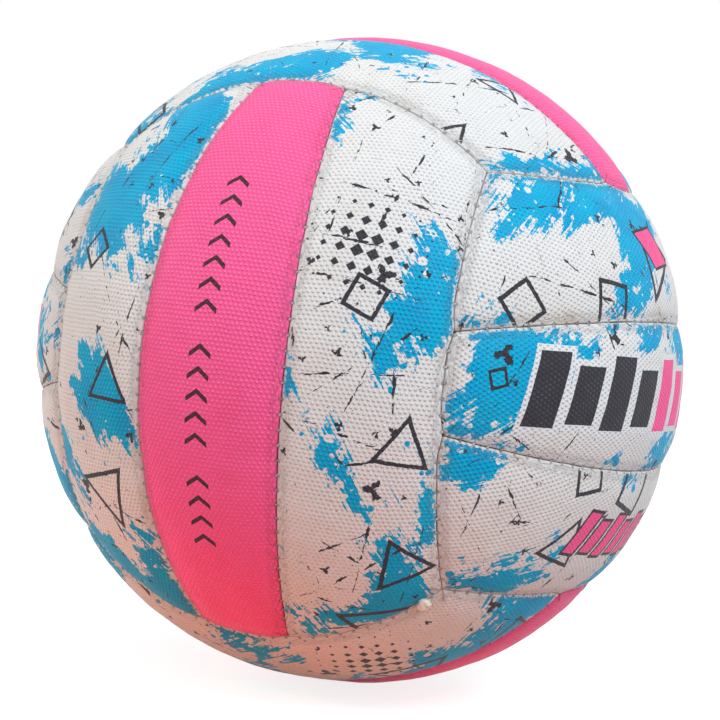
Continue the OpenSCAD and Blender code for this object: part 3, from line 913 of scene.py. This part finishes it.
def chevron_print(tree, sheet, art):
    """A line of plain chevrons along the middle of a strip"""
    x, y = apart(tree, placed(tree, sheet, (0, -1.5)))
    y = calc(tree, "ABSOLUTE", y)
    lean = calc(tree, "ADD", x, calc(tree, "MULTIPLY", y, 0.75))
    part = calc(tree, "FRACT", calc(tree, "DIVIDE", lean, CHEVRON_PITCH))
    stroke = ease(tree, calc(tree, "ABSOLUTE", calc(tree, "SUBTRACT", part, 0.5)), 0.135, 0.11)
    mask = calc(tree, "MULTIPLY", stroke, ease(tree, y, 3.75, 3.55))
    number = calc(tree, "FLOOR", calc(tree, "DIVIDE", lean, CHEVRON_PITCH))
    for left_out in (1, -5):
        off = calc(tree, "ABSOLUTE", calc(tree, "SUBTRACT", number, left_out))
        mask = calc(tree, "MULTIPLY", mask, ease(tree, off, 0.4, 0.6))
    long = ease(tree, calc(tree, "ABSOLUTE", calc(tree, "ADD", number, 0.5)), 9.1, 8.9)
    return [(calc(tree, "MULTIPLY", mask, long), CHEVRON_INK)]


def bar_row(centre, pitch, width, height, reach, slant, outline, inks):
    """A row of bold slanted bars of two heights, in an outline. The inks are the outline's, that
    of the bars of the second half and that of the bars of the first half."""
    outline_ink, ink, first_ink = inks

    def add(tree, sheet, art):
        x, y = apart(tree, placed(tree, sheet, centre))
        lean = calc(tree, "ADD", x, calc(tree, "MULTIPLY", y, slant))
        number = calc(tree, "FLOOR", calc(tree, "DIVIDE", lean, pitch))
        local = calc(tree, "SUBTRACT", lean, calc(tree, "MULTIPLY", number, pitch))
        local = calc(tree, "ABSOLUTE", calc(tree, "SUBTRACT", local, pitch / 2))
        odd = calc(tree, "ABSOLUTE", calc(tree, "MODULO", number, 2.0))
        tall = calc(tree, "SUBTRACT", height, calc(tree, "MULTIPLY", odd, height * 0.22))
        y = calc(tree, "ABSOLUTE", calc(tree, "ADD", y, calc(tree, "MULTIPLY", odd, height * 0.1)))
        limit = ease(tree, calc(tree, "ABSOLUTE", calc(tree, "ADD", number, 0.5)), reach + 0.1, reach - 0.1)
        masks = []
        for grow in (outline, 0.0):
            wide = ease(tree, local, width / 2 + grow + 0.1, width / 2 + grow - 0.1)
            over = calc(tree, "SUBTRACT", y, tall)
            high = ease(tree, over, grow + 0.1, grow - 0.1)
            masks.append(calc(tree, "MULTIPLY", calc(tree, "MULTIPLY", wide, limit), high))
        first = ease(tree, number, 0.6, 0.4)
        return [(masks[0], outline_ink), (masks[1], mix_colour(tree, first, ink, first_ink))]
    return add


def lozenge_badge(tree, sheet, art):
    """One large pink lozenge with a dark rim"""
    x, y = apart(tree, vector_calc(tree, "ABSOLUTE", placed(tree, sheet, (4, 0), 20, (1.0, 0.55))))
    form = calc(tree, "ADD", x, y)
    return [(ease(tree, form, 15.2, 15.0), INK), (ease(tree, form, 13.2, 13.0), PINK_RUBBER)]


def simple_material(name, colours, roughness, patch, grain, height):
    """A material of two colours in soft patches, with a fine grain"""
    material, tree, shader = start_material(name, roughness)
    place = add_node(tree, "ShaderNodeTexCoord").outputs["Object"]
    place = vector_calc(tree, "MULTIPLY", place, (1 / MM,) * 3)
    share = ease(tree, noise_value(tree, place, patch, 4.0, 0.6), 0.35, 0.65)
    tree.links.new(mix_colour(tree, share, *colours), shader.inputs["Base Color"])
    fine = noise_value(tree, place, grain, 3.0, 0.6)
    raise_surface(tree, shader, calc(tree, "MULTIPLY", fine, height))
    rough = calc(tree, "ADD", roughness - 0.08, calc(tree, "MULTIPLY", fine, 0.16))
    tree.links.new(rough, shader.inputs["Roughness"])
    return material


def cloth_material(name):
    """Plain woven backing cloth: warp and weft in two crossed rows of threads"""
    material, tree, shader = start_material(name, 0.85)
    place = add_node(tree, "ShaderNodeTexCoord").outputs["Object"]
    place = vector_calc(tree, "MULTIPLY", place, (1 / MM,) * 3)
    wave = vector_calc(tree, "SINE", vector_calc(tree, "MULTIPLY", place, (2 * math.pi / 1.1,) * 3))
    node = add_node(tree, "ShaderNodeSeparateXYZ", {"Vector": wave})
    x, y, z = node.outputs
    weave = calc(tree, "MULTIPLY", calc(tree, "ADD", x, y), z)
    tone = rescale(tree, weave, -1.5, 1.5, 0, 1)
    colour = mix_colour(tree, tone, *CLOTH_COLOURS)
    stain = ease(tree, noise_value(tree, place, 14, 4.0, 0.6), 0.5, 0.8)
    colour = mix_colour(tree, calc(tree, "MULTIPLY", stain, 0.4), colour, CLOTH_STAIN)
    tree.links.new(colour, shader.inputs["Base Color"])
    raise_surface(tree, shader, calc(tree, "MULTIPLY", weave, 0.06))
    return material


def pink_rubber(name, *prints):
    return cover_rubber(name, PINK_RUBBER, PINK_DEEP, PINK_TIP_HIGHLIGHT, PINK_CREASE_SHADE, prints)


def white_rubber(name, *prints):
    """White rubber with the splash, and other prints over it"""
    return cover_rubber(name, WHITE_RUBBER, WHITE_SOILED, WHITE_TIP_HIGHLIGHT, CREASE_SHADE_GREY,
                        (splash_print, *prints))


LARGE_BARS = bar_row(centre=(0, 1), pitch=15.4, width=11.4, height=11.5, reach=5, slant=0.22,
                     outline=1.9, inks=(PRINT_WHITE, INK, PINK_RUBBER))
SMALL_BARS = bar_row(centre=(12, 2), pitch=9.0, width=5.8, height=7.5, reach=3, slant=0.3,
                     outline=1.1, inks=(INK, PINK_RUBBER, PINK_RUBBER))

MATERIALS = {
    "pink": pink_rubber("pimpled_pink_rubber"),
    "pink_marked": pink_rubber("pimpled_pink_rubber_chevrons", chevron_print),
    "white": white_rubber("pimpled_white_rubber"),
    "white_lozenges": white_rubber("pimpled_white_rubber_lozenges", lozenge_print((38, -4), 12)),
    "white_bars": white_rubber("pimpled_white_rubber_bars", LARGE_BARS),
    "white_badge": white_rubber("pimpled_white_rubber_badge", lozenge_badge),
    "white_small_bars": white_rubber("pimpled_white_rubber_small_bars", SMALL_BARS),
    "thread": simple_material("waxed_seam_thread", (THREAD, THREAD_SOILED), 0.55, 3.0, 0.4, 0.08),
    "knot": simple_material("glued_knot", KNOT_COLOURS, 0.22, 1.5, 0.7, 0.1),
    "cloth": cloth_material("woven_lining_cloth"),
    "bladder": simple_material("bladder_rubber_dusted", BLADDER_COLOURS, 0.6, 12, 0.8, 0.02),
    "patch": simple_material("patch_rubber", PATCH_COLOURS, 0.65, 6, 0.6, 0.03),
    "valve": simple_material("valve_rubber", VALVE_COLOURS, 0.5, 4, 0.5, 0.03),
    "insert": simple_material("insert_rubber", INSERT_COLOURS, 0.5, 3, 0.4, 0.03),
}


# The pieces of the cover

PANEL_PRINTS = {
    "right_centre_panel": "white_bars", "left_centre_panel": "white_bars",
    "right_upper_panel": "white_badge", "left_lower_panel": "white_badge",
    "right_lower_panel": "white_small_bars", "left_upper_panel": "white_small_bars",
    "front_right_panel": "white_lozenges", "back_right_panel": "white_lozenges",
    "top_rear_panel": "white_lozenges", "bottom_front_panel": "white_lozenges",
    "front_centre_panel": "pink_marked", "back_centre_panel": "pink_marked",
}

for face, (look, _, _, names) in FACES.items():
    for side, name in zip((-1, 0, 1), names):
        node = f"{face}_{name}_panel"
        sheet = make_panel(face, side)
        if node == "back_centre_panel":
            punch_hole(sheet, look, VALVE_HOLE_R)
        pink = side == 0 and face in PINK_FACES
        panel = finish_mesh(sheet, node.replace("_panel", "_strip"))
        thicken(panel, SKIN)
        kind = PANEL_PRINTS.get(node, "pink" if pink else "white")
        settle(panel, MATERIALS[kind], "cover_pink" if pink else "cover_white", node)

strip_run = BALL_R * end_latitude(STRIP_ANGLE)
for face, sides in FACE_SIDES.items():
    lines = [stitch_line(strip_seam(face, side), strip_run) for side in (-1, 1)]
    stitching = make_cord(f"{face}_strip_stitching", lines, THREAD_D)
    settle(stitching, MATERIALS["thread"], "seam_thread", f"{face}_strip_threads")
    for side, name in zip((-1, 1), sides):
        seam = side_seam(face, side)
        line = stitch_line(seam, SIDE_HALF * seam.run_r)
        stitching = make_cord(f"{face}_{name}_edge_stitching", [line], THREAD_D)
        settle(stitching, MATERIALS["thread"], "seam_thread", f"{face}_{name}_edge_thread")

settle(make_knot(), MATERIALS["knot"], "knot_thread", "closing_knot")

# The pieces that the construction gives: linings, bladder, patch and valve
INNER_FINISHES = {
    "bladder": "bladder", "balance_patch": "patch", "valve_body": "valve", "valve_insert": "insert",
}

for node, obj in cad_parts.items():
    finish = "cloth" if node.endswith("_lining") else INNER_FINISHES.get(node)
    if finish:
        for slot in obj.material_slots:
            slot.material = MATERIALS[finish]


# The studio

FLOOR_HALF = 12
FLOOR_GAP = 1.0 * MM                 # below the construction, which the puffed cover stands proud of
FLOOR_SEEN = screen(186, 186, 188)   # to the eye, with a glow that brings it to white
FLOOR_GLOW = 0.81
FLOOR_COOL = screen(165, 166, 169)   # to the light that it throws up at the ball
FLOOR_WARM = screen(255, 152, 108)
WARM_PLACE = (-0.03, -0.09)          # the middle of the floor's warm patch
WARM_REACH = 0.29
SKY_COLOUR = (0.93, 0.97, 1, 1)
SKY_LEVEL = 0.54
CAMERA_DISTANCE = 598.3 * MM
CAMERA_TURN = math.radians(23.99)    # round from the front, to the right
CAMERA_RISE = math.radians(2.27)
CAMERA_ROLL = math.radians(-5.98)
CAMERA_SENSOR = 36
CAMERA_LENS = 85.17                  # on that sensor, in millimetres as well

# The lamps: name, place, size, power and colour
LAMPS = (
    ("key", (1.4, -0.75, 1.6), 0.8, 29, (1.0, 1.0, 1.0)),
    ("top", (0.1, -0.3, 2.2), 1.6, 11, (0.97, 0.98, 1.0)),
    ("warm_fill", (-1.7, -0.8, 0.6), 0.9, 14.5, (1.0, 0.81, 0.65)),
)


def seen_rays(tree):
    """1 for the rays that show the backdrop, straight or in a gloss"""
    path = add_node(tree, "ShaderNodeLightPath").outputs
    straight = calc(tree, "MAXIMUM", path["Is Camera Ray"], path["Is Transmission Ray"])
    return calc(tree, "MAXIMUM", straight, path["Is Glossy Ray"])


def make_floor():
    """A pale floor that keeps the ball's soft shadow and warms the light from below"""
    bm = bmesh.new()
    bmesh.ops.create_grid(bm, x_segments=1, y_segments=1, size=FLOOR_HALF)
    bmesh.ops.translate(bm, verts=bm.verts, vec=(0, 0, cad_box[0].z - FLOOR_GAP))
    floor = finish_mesh(bm, "floor")
    material = bpy.data.materials.new("pale_floor")
    material.use_nodes = True
    tree = material.node_tree
    tree.nodes.clear()
    pale = add_node(tree, "ShaderNodeBsdfDiffuse", {"Color": FLOOR_SEEN}).outputs[0]
    glow = add_node(tree, "ShaderNodeEmission", {"Color": (1, 1, 1, 1), "Strength": FLOOR_GLOW}).outputs[0]
    shown = add_node(tree, "ShaderNodeAddShader", {0: pale, 1: glow}).outputs[0]
    place = add_node(tree, "ShaderNodeTexCoord").outputs["Object"]
    away = vector_calc(tree, "DISTANCE", place, (*WARM_PLACE, cad_box[0].z), out="Value")
    warmth = ease(tree, away, WARM_REACH, 0.0)
    colour = mix_colour(tree, warmth, FLOOR_COOL, FLOOR_WARM)
    warm = add_node(tree, "ShaderNodeBsdfDiffuse", {"Color": colour}).outputs[0]
    mix = add_node(tree, "ShaderNodeMixShader", {0: seen_rays(tree), 1: warm, 2: shown}).outputs[0]
    out = tree.nodes.new("ShaderNodeOutputMaterial")
    tree.links.new(mix, out.inputs["Surface"])
    floor.data.materials.append(material)


def make_world():
    """White to the eye, and a soft even light on the ball"""
    world = bpy.data.worlds.new("studio")
    bpy.context.scene.world = world
    world.use_nodes = True
    tree = world.node_tree
    tree.nodes.clear()
    light = add_node(tree, "ShaderNodeBackground", {"Color": SKY_COLOUR, "Strength": SKY_LEVEL})
    white = add_node(tree, "ShaderNodeBackground", {"Color": (1, 1, 1, 1), "Strength": 1.0})
    mix = add_node(tree, "ShaderNodeMixShader",
                   {0: seen_rays(tree), 1: light.outputs[0], 2: white.outputs[0]}).outputs[0]
    out = tree.nodes.new("ShaderNodeOutputWorld")
    tree.links.new(mix, out.inputs["Surface"])


def make_lamp(name, place, size, power, colour):
    """A soft square lamp that faces the ball"""
    lamp = bpy.data.lights.new(name, "AREA")
    lamp.size = size
    lamp.energy = power
    lamp.color = colour
    holder = bpy.data.objects.new(name, lamp)
    holder.location = place
    holder.rotation_euler = (-Vector(place)).to_track_quat("-Z", "Y").to_euler()
    bpy.context.scene.collection.objects.link(holder)


def make_camera():
    """A camera at the photograph's distance, angle and roll, aimed at the ball's middle"""
    toward = Vector((math.sin(CAMERA_TURN) * math.cos(CAMERA_RISE),
                     -math.cos(CAMERA_TURN) * math.cos(CAMERA_RISE), math.sin(CAMERA_RISE)))
    level_right = Vector((math.cos(CAMERA_TURN), math.sin(CAMERA_TURN), 0))
    level_up = toward.cross(level_right)
    right = level_right * math.cos(CAMERA_ROLL) - level_up * math.sin(CAMERA_ROLL)
    up = toward.cross(right)
    camera = bpy.data.cameras.new("camera")
    camera.lens = CAMERA_LENS
    camera.sensor_width = CAMERA_SENSOR
    holder = bpy.data.objects.new("camera", camera)
    turn = Matrix((right, up, toward)).transposed().to_4x4()
    holder.matrix_world = Matrix.Translation(toward * CAMERA_DISTANCE) @ turn
    bpy.context.scene.collection.objects.link(holder)
    bpy.context.scene.camera = holder


make_floor()
make_world()
for lamp in LAMPS:
    make_lamp(*lamp)
make_camera()
bpy.context.scene.view_settings.view_transform = "Standard"

bpy.context.view_layer.update()
